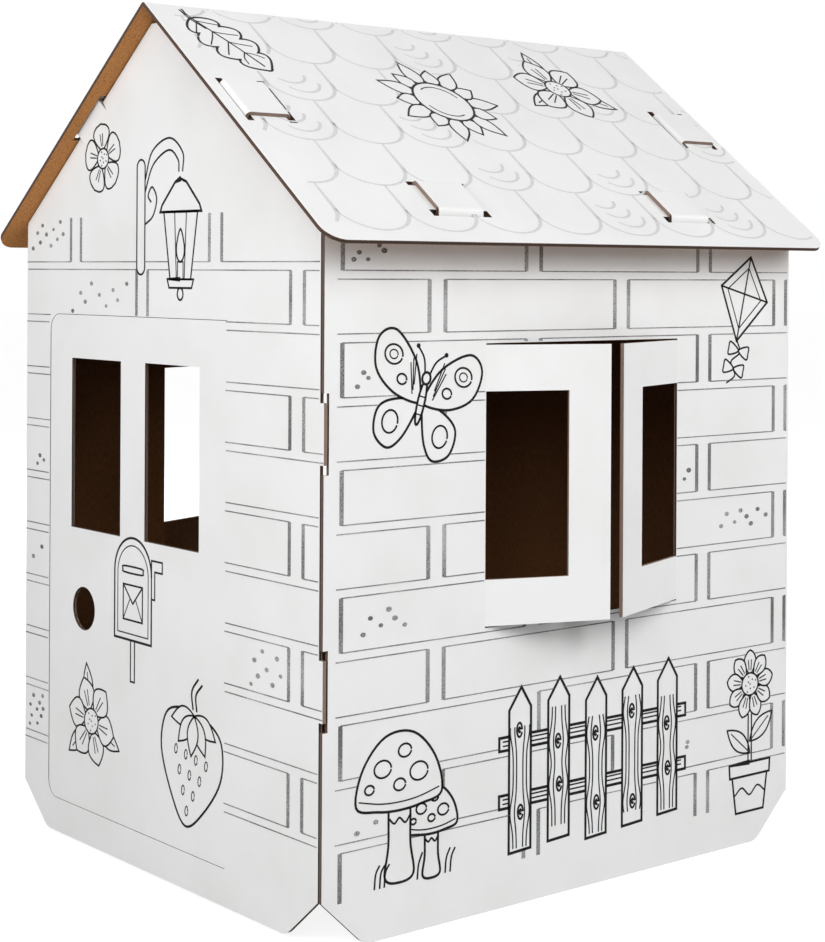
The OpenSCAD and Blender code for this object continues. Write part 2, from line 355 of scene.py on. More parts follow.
print("sheets")
board = house["boardT"]
sheetFinishes = (sheetWhite, shadedWallKraft, edgeFlap, edgeGable, edgeWall, shadedRoofWhite)
sortFaces(
    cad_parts["door_sheet"],
    [seed((0, -1, 0), halfL), seed((-1, 0, 0), halfW)],
    [seed((0, 1, 0), board - halfL), seed((1, 0, 0), board - halfW)],
    sheetFinishes,
)
sortFaces(
    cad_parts["window_sheet"],
    [seed((0, 1, 0), halfL), seed((1, 0, 0), halfW)],
    [seed((0, -1, 0), board - halfL), seed((-1, 0, 0), board - halfW)],
    sheetFinishes,
)
sortFaces(
    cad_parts["roof_sheet"],
    [seed((sinP, 0, cosP), roofRise), seed((-sinP, 0, cosP), roofRise)],
    [seed((-sinP, 0, -cosP), board - roofRise), seed((sinP, 0, -cosP), board - roofRise)],
    (shadedRoofWhite, litRoofKraft, edgeRoof, edgeRoof, edgeRoof, shadedRoofWhite),
)


# Print: thin ink lines that lie on the printed side of a sheet

ink = {
    "lift": 0.25,           # how far a line stands off the paper
    "root": 0.15,           # how far it reaches into it
    "step": 3.0,            # spacing of the points at which a line is tested against an outline
    "sharpest": 0.45,       # a corner widens its line to 1/0.45 of the width at most
    "straight": 1e-6,       # a turn, in radians, that is taken for none
}


def inside(points, outline):
    # even-odd rule: a point is inside where a ray towards +x crosses the outline an odd number of times
    x, y = points[:, 0:1], points[:, 1:2]
    ax, ay = outline[:, 0], outline[:, 1]
    bx, by = np.roll(ax, -1), np.roll(ay, -1)
    spans = (ay > y) != (by > y)
    run = np.where(by == ay, 1e-9, by - ay)
    crossing = ax + (y - ay) * (bx - ax) / run
    return (spans & (x < crossing)).sum(1) % 2 == 1


def resample(points, closed, step):
    # even spacing along the line, its corners kept
    ring = np.vstack([points, points[:1]]) if closed else points
    pieces = []
    for a, b in zip(ring[:-1], ring[1:]):
        count = max(1, int(math.ceil(np.linalg.norm(b - a) / step)))
        pieces.append(a + (b - a) * np.arange(count)[:, None] / count)
    return np.vstack(pieces + [ring[-1:]])


def straighten(points):
    # drops the points of a run that lie on the line between their neighbours
    if len(points) < 3:
        return points
    a, b = points[1:-1] - points[:-2], points[2:] - points[1:-1]
    turn = np.abs(a[:, 0] * b[:, 1] - a[:, 1] * b[:, 0])
    keep = turn > ink["straight"] * np.linalg.norm(a, axis=1) * np.linalg.norm(b, axis=1) + 1e-9
    return points[np.concatenate([[True], keep, [True]])]


def trim(stroke, within=(), without=()):
    # what is left of a stroke inside every outline of the first list and outside those of the second
    points = resample(stroke["points"], stroke["closed"], ink["step"])
    middle = (points[1:] + points[:-1]) / 2
    keep = np.ones(len(middle), bool)
    for outline in within:
        keep &= inside(middle, outline)
    for outline in without:
        keep &= ~inside(middle, outline)
    if keep.all():
        return [stroke]
    change = np.flatnonzero(np.diff(np.concatenate([[0], keep.astype(int), [0]])))
    runs = [points[a:b + 1] for a, b in zip(change[::2], change[1::2])]
    if stroke["closed"] and len(runs) > 1 and keep[0] and keep[-1]:
        runs[0] = np.vstack([runs.pop(), runs[0][1:]])
    return [line(straighten(run), stroke["width"]) for run in runs]


def trimAll(strokes, within=(), without=()):
    # the same for a list of strokes, in which a dot stays or goes by its centre
    kept = []
    for stroke in strokes:
        if "spot" in stroke:
            centre = np.array([stroke["spot"]], float)
            hidden = any(inside(centre, outline)[0] for outline in without)
            if not hidden and all(inside(centre, outline)[0] for outline in within):
                kept.append(stroke)
        else:
            kept += [s for s in trim(stroke, within, without) if len(s["points"]) > 1]
    return kept


def line(points, width, closed=False):
    return {"points": np.array(points, float), "width": width, "closed": closed}


def spot(x, y, size, flat=1.0):
    # a printed dot: a filled round, or one that is flatter than it is wide
    return {"spot": (x, y), "size": size, "flat": flat}


def ribbon(stroke):
    # Corners and faces of one line: its points moved half the width to both sides, square to the
    # mean of the two directions that meet at each point, as a closed strip four faces round.
    p = stroke["points"]
    closed = stroke["closed"]
    ahead = (np.roll(p, -1, 0) if closed else np.vstack([p[1:], 2 * p[-1:] - p[-2:-1]])) - p
    behind = p - (np.roll(p, 1, 0) if closed else np.vstack([2 * p[:1] - p[1:2], p[:-1]]))
    ahead /= np.linalg.norm(ahead, axis=1)[:, None] + 1e-12
    behind /= np.linalg.norm(behind, axis=1)[:, None] + 1e-12
    mean = ahead + behind
    mean /= np.linalg.norm(mean, axis=1)[:, None] + 1e-12
    stretch = 1 / np.clip((mean * ahead).sum(1), ink["sharpest"], 1)
    half = stretch * np.broadcast_to(stroke["width"], len(p)) / 2
    side = np.stack([-mean[:, 1], mean[:, 0]], 1) * half[:, None]
    high, low = ink["lift"], -ink["root"]
    count = len(p)
    flat = np.concatenate([p + side, p - side, p - side, p + side])
    rise = np.repeat([high, high, low, low], count)
    points = np.column_stack([flat, rise])
    a = np.arange(count if closed else count - 1)
    b = (a + 1) % count
    faces = []
    for k in range(4):
        this, other = k * count, (k + 1) % 4 * count
        faces.append(np.stack([this + a, other + a, other + b, this + b], 1))
    if not closed:
        ends = np.arange(4) * count
        faces += [ends[None, ::-1], ends[None, :] + count - 1]
    return points, np.concatenate(faces)


def disc(dot, sides=14):
    # a round plate: a ring at the top and one in the paper, joined by a wall, each closed by a fan
    turn = np.arange(sides) * 2 * math.pi / sides
    ring = np.stack([np.cos(turn), dot["flat"] * np.sin(turn)], 1) * dot["size"] / 2 + dot["spot"]
    centre = np.array([dot["spot"]], float)
    high, low = ink["lift"], -ink["root"]
    rise = np.concatenate([np.full(sides, high), np.full(sides, low), [high, low]])
    points = np.column_stack([np.vstack([ring, ring, centre, centre]), rise])
    a = np.arange(sides)
    b = (a + 1) % sides
    wall = np.stack([a, a + sides, b + sides, b], 1)
    top = np.stack([np.full(sides, 2 * sides), a, b], 1)
    under = np.stack([np.full(sides, 2 * sides + 1), b + sides, a + sides], 1)
    return points, wall, np.vstack([top, under])


def printOn(name, plane, marks, finish):
    # places every mark on its plane: origin + u x + v y + n height
    points, faces, start = [], [], 0
    for mark in marks:
        made = disc(mark) if "spot" in mark else ribbon(mark)
        points.append(made[0])
        faces += [tuple(face) for block in made[1:] for face in (block + start).tolist()]
        start += len(made[0])
    flat = np.concatenate(points)
    origin, u, v, n = (planes[plane][key] for key in ("origin", "u", "v", "n"))
    places = origin + flat[:, 0:1] * u + flat[:, 1:2] * v + flat[:, 2:3] * n
    mesh = bpy.data.meshes.new(name)
    mesh.from_pydata((places * mm).tolist(), [], faces)
    mesh.materials.append(finish)
    mesh.update()
    piece = bpy.data.objects.new(name, mesh)
    bpy.context.scene.collection.objects.link(piece)
    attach(piece, "root")
    print(name, len(faces), "faces")


def block(x0, x1, y0, y1):
    return np.array([(x0, y0), (x1, y0), (x1, y1), (x0, y1)], float)


# Pictures: black outlines; each is laid over what was drawn before it, so a nearer shape hides a farther

pen = {"bold": 3.2, "line": 2.5, "fine": 1.7}


def oval(x, y, rx, ry, start=0, stop=360, tilt=0, count=28):
    # an ellipse or a stretch of one: centre plus cosine and sine of the angle, then turned by the tilt
    a = np.radians(np.linspace(start, stop, count + 1))
    if stop - start >= 360:
        a = a[:-1]
    px, py = rx * np.cos(a), ry * np.sin(a)
    c, s = math.cos(math.radians(tilt)), math.sin(math.radians(tilt))
    return np.stack([x + c * px - s * py, y + s * px + c * py], 1)


def curve(points, closed=False, steps=6):
    # Catmull-Rom: between two points the line is a cubic led by their neighbours on either side
    p = np.array(points, float)
    if closed:
        p = np.vstack([p[-1:], p, p[:2]])
    else:
        p = np.vstack([2 * p[:1] - p[1:2], p, 2 * p[-1:] - p[-2:-1]])
    t = (np.arange(steps) / steps)[None, :, None]
    a, b, c, d = (p[k:len(p) - 3 + k][:, None, :] for k in range(4))
    square, cube = 2 * a - 5 * b + 4 * c - d, 3 * b - a - 3 * c + d
    span = 0.5 * (2 * b + (c - a) * t + square * t ** 2 + cube * t ** 3)
    span = span.reshape(-1, 2)
    return span if closed else np.vstack([span, p[-2:-1]])


def mirrored(points):
    # the right half of an outline, from the top down, and its mirror image back up
    half = np.array(points, float)
    return np.vstack([half, half[::-1] * (-1, 1)])


def newPicture():
    return {"marks": [], "covers": []}


def lay(picture, outline, width=pen["line"]):
    # a closed shape hides the lines under it and gets its own outline
    outline = np.array(outline, float)
    picture["marks"] = trimAll(picture["marks"], (), [outline]) + [line(outline, width, True)]
    picture["covers"].append(outline)


def draw(picture, points, width=pen["line"]):
    picture["marks"].append(line(points, width))


def put(picture, x, y, turn=0, size=1.0, bold=1.0):
    # turns, sizes and moves a picture to its place on the sheet, and broadens its lines
    c, s = math.cos(math.radians(turn)) * size, math.sin(math.radians(turn)) * size
    grid = np.array([(c, s), (-s, c)])
    marks = []
    for mark in picture["marks"]:
        if "spot" in mark:
            place = np.array(mark["spot"]) @ grid + (x, y)
            marks.append(spot(*place, mark["size"] * bold, mark["flat"]))
        else:
            marks.append(line(mark["points"] @ grid + (x, y), mark["width"] * bold, mark["closed"]))
    return {"marks": marks, "covers": [cover @ grid + (x, y) for cover in picture["covers"]]}


def petal(turn, base, reach, width, peak, blunt):
    # out along one side and back along the other: half the width times a sine whose top sits at the peak
    t = np.linspace(0, 1, 15)
    half = width / 2 * np.sin(math.pi * t ** peak) ** blunt
    along = base + (reach - base) * t
    shape = np.vstack([np.stack([along, half], 1), np.stack([along, -half], 1)[-2:0:-1]])
    c, s = math.cos(math.radians(turn)), math.sin(math.radians(turn))
    return shape @ np.array([(c, s), (-s, c)])


flower = {
    "leafTurn": 200, "leafReach": 1.3, "leafWidth": 0.6, "leafVein": 1.1,
    "veinTurns": (-5, 6), "veinFrom": 1.15, "veinTo": 0.72,
    "petalRoot": 0.7, "heartFlat": 0.92,
    "seeds": 9, "seedSize": 2.4, "seedTurn": 2.4, "seedSpread": 0.26,   # seeds sit on a spiral
}


def blossom(count, reach, width, peak, blunt, heart, leaves=0):
    picture = newPicture()
    for k in range(leaves):
        turn = 360 / leaves * k + flower["leafTurn"]
        lay(picture, petal(turn, heart, reach * flower["leafReach"], width * flower["leafWidth"], 1.0, 1.0))
        a = math.radians(turn)
        vein = [heart, reach * flower["leafVein"]]
        draw(picture, np.outer(vein, (math.cos(a), math.sin(a))), pen["fine"])
    for k in range(count):
        turn = 90 + 360 / count * k
        lay(picture, petal(turn, heart * flower["petalRoot"], reach, width, peak, blunt))
        vein = [heart * flower["veinFrom"], reach * flower["veinTo"]]
        for side in flower["veinTurns"]:
            a = math.radians(turn) + math.radians(side)
            draw(picture, np.outer(vein, (math.cos(a), math.sin(a))), pen["fine"])
    lay(picture, oval(0, 0, heart, heart * flower["heartFlat"]))
    for k in range(flower["seeds"]):
        a = k * flower["seedTurn"]
        r = heart * flower["seedSpread"] * math.sqrt(k)
        picture["marks"].append(spot(r * math.cos(a), r * math.sin(a), flower["seedSize"]))
    return picture


def oakLeaf(length, width):
    # half the width is a sine from stalk to tip times a rounded sine for the lobes, sharp between them
    picture = newPicture()
    t = np.linspace(0, 1, 121)
    lobes = 0.62 + 0.38 * np.abs(np.sin(math.pi * (4 * t + 0.1))) ** 0.7
    half = width / 2 * np.sin(math.pi * t ** 0.85) ** 0.55 * lobes
    along = length * (t - 0.5)
    upper, lower = np.stack([along, half], 1), np.stack([along, -half], 1)[-2:0:-1]
    lay(picture, np.vstack([upper, lower]), pen["bold"])
    draw(picture, curve([(-length * 0.66, 6), (-length * 0.5, 0), (0, 2), (length * 0.42, 0)]))
    draw(picture, curve([(-length * 0.66, 1), (-length * 0.5, -4), (-length * 0.3, -2)]))
    for k in range(4):
        root = length * (-0.44 + 0.2 * k)
        for side in (1, -1):
            tip = (root + length * 0.16, side * width * (0.33, 0.37, 0.33, 0.22)[k])
            draw(picture, curve([(root, 1), (root + length * 0.07, side * width * 0.14), tip]), pen["fine"])
    return picture


def sunRays(radius, reach, count):
    picture = newPicture()
    for k in range(count):
        long = reach if k % 2 == 0 else reach * 0.82
        lay(picture, petal(360 / count * k, radius * 0.9, long, radius * 0.62, 0.75, 1.0))
    lay(picture, oval(0, 0, radius, radius), pen["bold"])
    inner = radius * 0.76
    for start, stop in ((20, 130), (200, 300)):
        draw(picture, oval(0, 0, inner, inner, start, stop), pen["fine"])
    return picture


def hangingLantern():
    picture = newPicture()
    ends = [oval(-61, 60, 9, 9, 0, 180, count=12), oval(-61, -58, 9, 9, 180, 360, count=12)]
    lay(picture, np.vstack(ends))
    draw(picture, curve([(-52, 44), (-36, 78), (2, 92), (30, 74), (30, 52)]))
    draw(picture, curve([(-52, 30), (-34, 62), (0, 78), (20, 66), (22, 52)]))
    draw(picture, curve([(-52, -8), (-34, 2), (-26, 22), (-36, 36), (-45, 26), (-38, 18)]))
    lay(picture, mirrored([(0, 52), (12, 40)]) + (26, 2))
    lay(picture, mirrored([(0, 44), (12, 40), (40, 14), (44, 6)]) + (26, 0), pen["bold"])
    lay(picture, mirrored([(0, 6), (36, 6), (22, -72)]) + (26, 0))
    for x in (-12, 12):
        draw(picture, [(26 + x * 1.05, 6), (26 + x * 0.7, -72)], pen["fine"])
    lay(picture, curve([(26, -14), (34, -32), (33, -46), (26, -52), (19, -46), (18, -32)], True))
    lay(picture, block(20, 32, -72, -52), pen["fine"])
    lay(picture, mirrored([(0, -72), (28, -72), (24, -82)]) + (26, 0))
    lay(picture, oval(26, -89, 6, 7))
    return picture


def postBox():
    picture = newPicture()
    lay(picture, block(-5, 5, -120, -66))
    arch = np.vstack([oval(0, 22, 46, 46, 0, 180), [(-46, -66), (46, -66)]])
    lay(picture, arch, pen["bold"])
    draw(picture, np.vstack([oval(0, 20, 38, 38, 0, 180), [(-38, -58), (38, -58), (38, 20)]]), pen["fine"])
    lay(picture, curve([(-22, 30), (22, 30), (25, 26), (22, 22), (-22, 22), (-25, 26)], True, 3))
    lay(picture, block(-24, 24, -40, 6))
    draw(picture, [(-24, 6), (0, -18), (24, 6)])
    for side in (-1, 1):
        draw(picture, [(side * 24, -40), (side * 7, -12)], pen["fine"])
    lay(picture, [(46, -6), (54, -6), (54, 30), (72, 30), (72, 44), (46, 44)])
    return picture


def picketFence(pickets, pitch, high, wide):
    # pointed pickets before two rails; the grain lines part round the knots by a bell curve
    picture = newPicture()
    reach = (pickets - 1) * pitch / 2
    for z in (high * 0.28, high * 0.63):
        rail = block(-reach - wide * 0.95, reach + wide * 0.95, z, z + wide * 0.45)
        lay(picture, rail, pen["bold"])
        for share in (0.35, 0.68):
            y = z + wide * 0.45 * share
            draw(picture, [(rail[0, 0] + 6, y), (rail[1, 0] - 8, y + 1.5)], pen["fine"])
    for k in range(pickets):
        x = k * pitch - reach
        lift = 5 * math.sin(k * 2.1)
        half = wide / 2
        shoulders = [(half, high - wide * 0.7), (2, high), (-half, high - wide * 0.75)]
        lay(picture, np.array([(-half, 0), (half, 2)] + shoulders) + (x, lift), pen["bold"])
        knots = [high * (0.24 + 0.1 * math.sin(k * 1.7)), high * (0.66 + 0.08 * math.cos(k * 2.3))]
        z = np.linspace(5, high - wide, 40)
        bulge = sum(np.exp(-((z - knot) / 20) ** 2) for knot in knots)
        shown = slice(3 * (k % 2), 40 - 3 * ((k + 1) % 2))
        for place in (-0.34, -0.17, 0.15, 0.33):
            across = x + wide * place * (0.9 + 0.75 * bulge / (1 + 2.2 * abs(place)))
            draw(picture, np.stack([across, z + lift], 1)[shown], pen["fine"])
        for knot, side in zip(knots, (1, -1)):
            draw(picture, oval(x + side, knot + lift, wide * 0.12, 9, 0, 340, count=16))
            draw(picture, oval(x + side, knot + lift, wide * 0.04, 3, 0, 340, count=8))
    return picture


def toadstools():
    picture = newPicture()
    stem = curve([(-14, 20), (-17, -40), (-22, -78), (0, -86), (22, -78), (17, -40), (14, 20)], True)
    skirt = curve([(-17, -6), (-8, -14), (0, -8), (9, -15), (17, -6)])
    cap = curve([(-66, 14), (-56, 58), (-22, 92), (22, 92), (56, 58), (66, 14), (34, 4), (0, 1), (-34, 4)],
                True)
    rim = curve([(-62, 20), (-30, 13), (0, 11), (30, 13), (62, 20)])
    for x, y, size in ((36, -6, 0.62), (-14, 0, 1.0)):
        base = (x, y - (1 - size) * 80)
        lay(picture, stem * size + base, pen["bold"])
        draw(picture, skirt * size + base)
        lay(picture, cap * size + base, pen["bold"])
        draw(picture, rim * size + base, pen["fine"])
        for sx, sy, sr in ((-26, 54, 13), (8, 72, 10), (30, 44, 14), (0, 32, 9), (-46, 32, 7)):
            draw(picture, oval(sx, sy, sr, sr * 0.8, 0, 352, count=20) * size + base)
    for x in (-52, -44, -37, 14, 58, 66):
        draw(picture, curve([(x, -88), (x + 2, -70), (x + 8, -56 - (x % 7))]))
    return picture


def butterfly():
    picture = newPicture()
    upper = curve([(4, 12), (24, 52), (66, 82), (92, 66), (86, 26), (50, 2), (6, -2)], True)
    lower = curve([(4, 0), (40, -4), (68, -22), (66, -56), (40, -70), (20, -52), (6, -16)], True)
    for side in (1, -1):
        for wing in (lower, upper):
            lay(picture, wing * (side, 1), pen["bold"])
        for x, y, r in ((62, 50, 15), (40, 22, 8)):
            draw(picture, oval(side * x, y, r, r * 0.85, 0, 352))
        draw(picture, oval(side * 44, -36, 13, 15, 0, 352))
        draw(picture, oval(side * 62, 50, 7, 6, 0, 352, count=12), pen["fine"])
        for a in (34, 47, 60):
            reach = np.array([(18, 18 * math.tan(math.radians(a - 12))), (40 - a / 4, 30 + a / 2)])
            draw(picture, reach * (side, 1), pen["fine"])
        draw(picture, curve([(side * 2, 30), (side * 10, 56), (side * 24, 70)]))
        picture["marks"].append(spot(side * 25, 71, 6))
    lay(picture, oval(0, 0, 6, 30), pen["bold"])
    lay(picture, oval(0, 33, 7, 8), pen["bold"])
    for y in (-16, -4, 8):
        draw(picture, [(-5, y), (5, y)], pen["fine"])
    return picture


def kite():
    picture = newPicture()
    draw(picture, curve([(0, -46), (10, -62), (-4, -78), (8, -94), (-6, -108)]))
    for x, y in ((7, -60), (3, -86)):
        for side in (-1, 1):
            bow = curve([(0, 0), (side * 18, 9), (side * 20, 0), (side * 18, -9)], True)
            lay(picture, bow + (x, y))
    sail = np.array([(0, 70), (48, 18), (0, -48), (-48, 18)], float)
    lay(picture, sail, pen["bold"])
    lay(picture, sail * 0.72 + (0, 4), pen["fine"])
    draw(picture, [(0, 70), (0, -48)])
    draw(picture, [(-48, 18), (48, 18)])
    return picture


def strawberry():
    picture = newPicture()
    fruit = curve([(0, -72), (-30, -48), (-56, -6), (-52, 32), (-24, 46), (0, 40), (24, 46), (52, 32),
                   (56, -6), (30, -48)], True)
    lay(picture, fruit, pen["bold"])
    for row in range(5):
        for k in range(-3, 4):
            x, y = k * 19 + (row % 2) * 9.5, 20 - row * 19
            if abs(x) < 44 - abs(row - 1) * 9:
                draw(picture, oval(x, y, 2.6, 5.0, 0, 350, count=10), pen["fine"])
    for turn in (200, 340, 235, 305, 270):
        lay(picture, petal(turn, 2, 44, 20, 0.9, 1.0) + (0, 46))
    draw(picture, curve([(-3, 50), (-8, 68), (2, 84)]), pen["bold"])
    draw(picture, curve([(4, 50), (0, 66), (10, 80)]), pen["bold"])
    return picture


def pottedFlower():
    picture = newPicture()
    for side, z in ((1, -18), (-1, -32)):
        leaf = petal(38, 0, 52, 22, 0.95, 0.9) * (side, 1) + (0, z)
        lay(picture, leaf)
        draw(picture, np.array([(4 * side, z + 3), (34 * side, z + 27)]), pen["fine"])
    for x in (-3, 3):
        draw(picture, [(x, -46), (x, 36)])
    head = put(blossom(9, 42, 21, 1.3, 0.7, 15), 0, 52)
    picture["marks"] = trimAll(picture["marks"], (), head["covers"]) + head["marks"]
    picture["covers"] += head["covers"]
    lay(picture, mirrored([(0, -58), (32, -58), (25, -104)]), pen["bold"])
    lay(picture, mirrored([(0, -44), (37, -44), (36, -60)]), pen["bold"])
    draw(picture, curve([(-27, -82), (-14, -74), (0, -84), (14, -74), (27, -82)]))
    return picture


def collect(*pictures):
    marks, covers = [], []
    for picture in pictures:
        marks += picture["marks"]
        covers += picture["covers"]
    return marks, covers


print("pictures")
gablePictures, gableCovers = collect(
    put(blossom(5, 48, 42, 1.5, 0.55, 15), -146, 951, 8),
    put(hangingLantern(), 22, 868, 0, 1.12, 1.1),
    put(postBox(), -62, 372, 0, 1.02),
    put(blossom(6, 58, 40, 1.05, 0.9, 18, 3), -170, 178, 20, 1.05),
    put(strawberry(), 82, 176, -8, 1.25),
)
wallPictures, wallCovers = collect(
    put(butterfly(), -268, 640, -16, 0.92),
    put(kite(), 312, 752, -14, 1.02),
    put(toadstools(), -284, 150),
    put(picketFence(5, 67, 208, 37), 31, 66, 0, 1.0, 1.15),
    put(pottedFlower(), 332, 163, 0, 1.14),
)
roofPictures, roofCovers = collect(
    put(oakLeaf(134, 88), -352, -92, -62, 1.0, 1.1),
    put(sunRays(46, 98, 14), -60, -195, 0, 1.0, 1.1),
    put(blossom(6, 74, 46, 1.05, 0.85, 22, 3), 198, -135, 12, 1.0, 1.2),
)

# Brick print

bricks = {
    "course": 75.0, "height": 64.5,
    "thin": 1.5, "thick": 6.2,
    "dot": 8.2, "dotFlat": 0.72,
    # height of course 0, brick length, joint, and where a brick starts in an even and an odd course
    "gable": {"base": 135.0, "length": 324.0, "joint": 28.0, "even": -28.5, "odd": -205.0},
    "wall": {"base": 125.0, "length": 291.5, "joint": 25.3, "even": -230.0, "odd": -71.0},
    "courses": range(-1, 10), "across": range(-2, 3),
}


def bricksFor(bond):
    # running bond: course after course of bricks as open rectangles, every other course shifted
    strokes = []
    for row in bricks["courses"]:
        z0 = bond["base"] + row * bricks["course"]
        z1 = z0 + bricks["height"]
        for k in bricks["across"]:
            x0 = bond["odd" if row % 2 else "even"] + k * (bond["length"] + bond["joint"])
            x1 = x0 + bond["length"]
            for z in (z0, z1):
                strokes.append(line([(x0, z), (x1, z)], bricks["thin"]))
            for x in (x0, x1):
                strokes.append(line([(x, z0), (x, z1)], bricks["thick"]))
    return strokes


# Where print may lie on a gable: inside its outline, clear of the door, and over the corner fingers
gable = {
    "left": -halfW + house["foldRadius"], "plate": 355.0, "finger": 362.5,
    "bottom": 62.0,
    "topCourse": 873.0, "shoulder": 300.0,      # the highest line and where the slope cuts it off
    "underSlope": 30.0,
    "fingers": ((270.5, 343.5), (571.5, 644.5)),
    "doorLeft": -291.5, "doorRight": 158.0, "doorTop": 739.0,
}


def gableField():
    left, right = gable["left"], gable["plate"]
    highest = house["ridgeZ"] - gable["underSlope"]
    slope = math.tan(house["pitch"])
    topLeft = min(highest + left * slope, gable["topCourse"])
    topRight = min(highest - right * slope, gable["topCourse"])
    outline = [(left, gable["bottom"]), (right, gable["bottom"])]
    for low, high in gable["fingers"]:
        outline += [(right, low), (gable["finger"], low), (gable["finger"], high), (right, high)]
    outline += [(right, topRight), (gable["shoulder"], gable["topCourse"]),
                (-gable["shoulder"], gable["topCourse"]), (left, topLeft)]
    return np.array(outline, float)


wall = {
    "front": -394.5, "back": 407.0, "bottom": 55.0, "top": 856.0,
    "window": (-163.0, 181.0, 355.0, 710.0),    # front, back, sill and head
    "windowMargin": 2.0,
}

dotGroups = {
    # two corners of the patch that a group of dots fills, and how many there are
    "gable": [(-344, 831, -253, 868, 10), (-235, 744, -76, 784, 9), (-330, 520, -304, 538, 3),
              (-354, 388, -300, 410, 2), (-350, 142, -301, 194, 10), (210, 294, 281, 345, 8)],
    "wall": [(-380, 811, -319, 832, 5), (-373, 663, -321, 693, 5), (-363, 371, -285, 399, 6),
             (199, 516, 203, 540, 2), (265, 446, 366, 474, 8), (-379, 136, -323, 148, 2),
             (203, 150, 207, 170, 2)],
    "steps": 0.618,         # heights go up by this share of the patch, over and over
    "knockX": 4, "knockY": 3,
    "smallest": 0.8, "largest": 1.15,
    "gableStart": 3, "wallStart": 5,            # seeds of the two draws
}


def dotsFor(groups, start):
    # each group is spread along its patch in equal steps and knocked about by a seeded draw
    draws = np.random.default_rng(start)
    dots = []
    for x0, y0, x1, y1, count in groups:
        for k in range(count):
            across = (k + 0.5) / count
            up = (k * dotGroups["steps"]) % 1
            x = x0 + (x1 - x0) * across + draws.uniform(-dotGroups["knockX"], dotGroups["knockX"])
            y = y0 + (y1 - y0) * up + draws.uniform(-dotGroups["knockY"], dotGroups["knockY"])
            size = bricks["dot"] * draws.uniform(dotGroups["smallest"], dotGroups["largest"])
            dots.append(spot(x, y, size, bricks["dotFlat"]))
    return dots


print("brick print")
gableBricks = bricksFor(bricks["gable"])
doorway = block(gable["doorLeft"], gable["doorRight"], 0, gable["doorTop"])
frontPrint = trimAll(gableBricks, [gableField()], [doorway] + gableCovers)
frontPrint += trimAll(dotsFor(dotGroups["gable"], dotGroups["gableStart"]), (), gableCovers)
backPrint = trimAll(gableBricks, [gableField()])
wallField = block(wall["front"], wall["back"], wall["bottom"], wall["top"])
wallBricks = bricksFor(bricks["wall"])
front, back, sill, head = wall["window"]
room = wall["windowMargin"]
windowField = block(front - room, back + room, sill - room, head + room)
wallPrint = trimAll(wallBricks, [wallField], [windowField] + wallCovers)
wallPrint += trimAll(dotsFor(dotGroups["wall"], dotGroups["wallStart"]), (), wallCovers)
printOn("brick_print_front", "frontGable", frontPrint, brickInk)
printOn("brick_print_back", "backGable", backPrint, brickInk)
printOn("brick_print_right", "rightWall", wallPrint, brickInk)
printOn("brick_print_left", "leftWall", wallPrint, brickInk)
printOn("pictures_front", "frontGable", gablePictures, lineInk)
printOn("pictures_right", "rightWall", wallPictures, lineInk)
printOn("pictures_left", "leftWall", wallPictures, lineInk)


# Roof tile print: rows of round-ended tiles, the seam of two tiles under the middle of the one above

tiles = {
    "pitch": 107.0, "row": 93.0, "rows": 6, "columns": range(-6, 7),
    "firstTip": 30.0,       # down the slope from the ridge to the lowest point of the first row
    "shift": 30.0,
    "arc": 42.0,            # how far a tile's round end reaches
    "thin": 2.6, "thick": 7.0,
    "swellFrom": -0.9, "swellPower": 1.5,       # a round end is thin on its left and thick on its right
    "seamWide": 0.8, "seamNarrow": 1.2, "seamPoints": 9, "arcPoints": 19,
    "nearMargin": 26.0, "farMargin": 4.0, "eaveMargin": 6.0, "ridgeMargin": 5.0, "seamEnd": 8.0,
}

curls = {
    # two or three half rounds in some tiles, each smaller and set off from the one under it
    "places": (0, 3), "cycle": 7,
    "from": 215, "to": 358, "points": 13,
    "wide": 30.0, "high": 24.0, "shrink": 0.14,
    "x": 2.0, "y": 43.0, "stepX": 10.0, "stepY": 17.0,
    "swellFrom": -0.3, "swell": 2.6,
}


def trimPlain(strokes, field, covers):
    # lines with a changing width are kept or dropped point by point
    kept = []
    for stroke in strokes:
        points = stroke["points"]
        good = inside(points, field)
        for cover in covers:
            good &= ~inside(points, cover)
        change = np.flatnonzero(np.diff(np.concatenate([[0], good.astype(int), [0]])))
        for a, b in zip(change[::2], change[1::2]):
            if b - a > 1:
                width = stroke["width"]
                kept.append(line(points[a:b], width[a:b]))
    return kept


def curlStrokes(middle, tip, count):
    turn = np.radians(np.linspace(curls["from"], curls["to"], curls["points"]))
    width = tiles["thin"] + curls["swell"] * np.linspace(curls["swellFrom"], 1, curls["points"]).clip(0)
    strokes = []
    for k in range(count):
        size = 1 - curls["shrink"] * k
        x = middle + curls["x"] - curls["stepX"] * k + curls["wide"] * size * np.cos(turn)
        y = tip + curls["y"] + curls["stepY"] * k + curls["high"] * size * np.sin(turn)
        strokes.append(line(np.stack([x, y], 1), width))
    return strokes


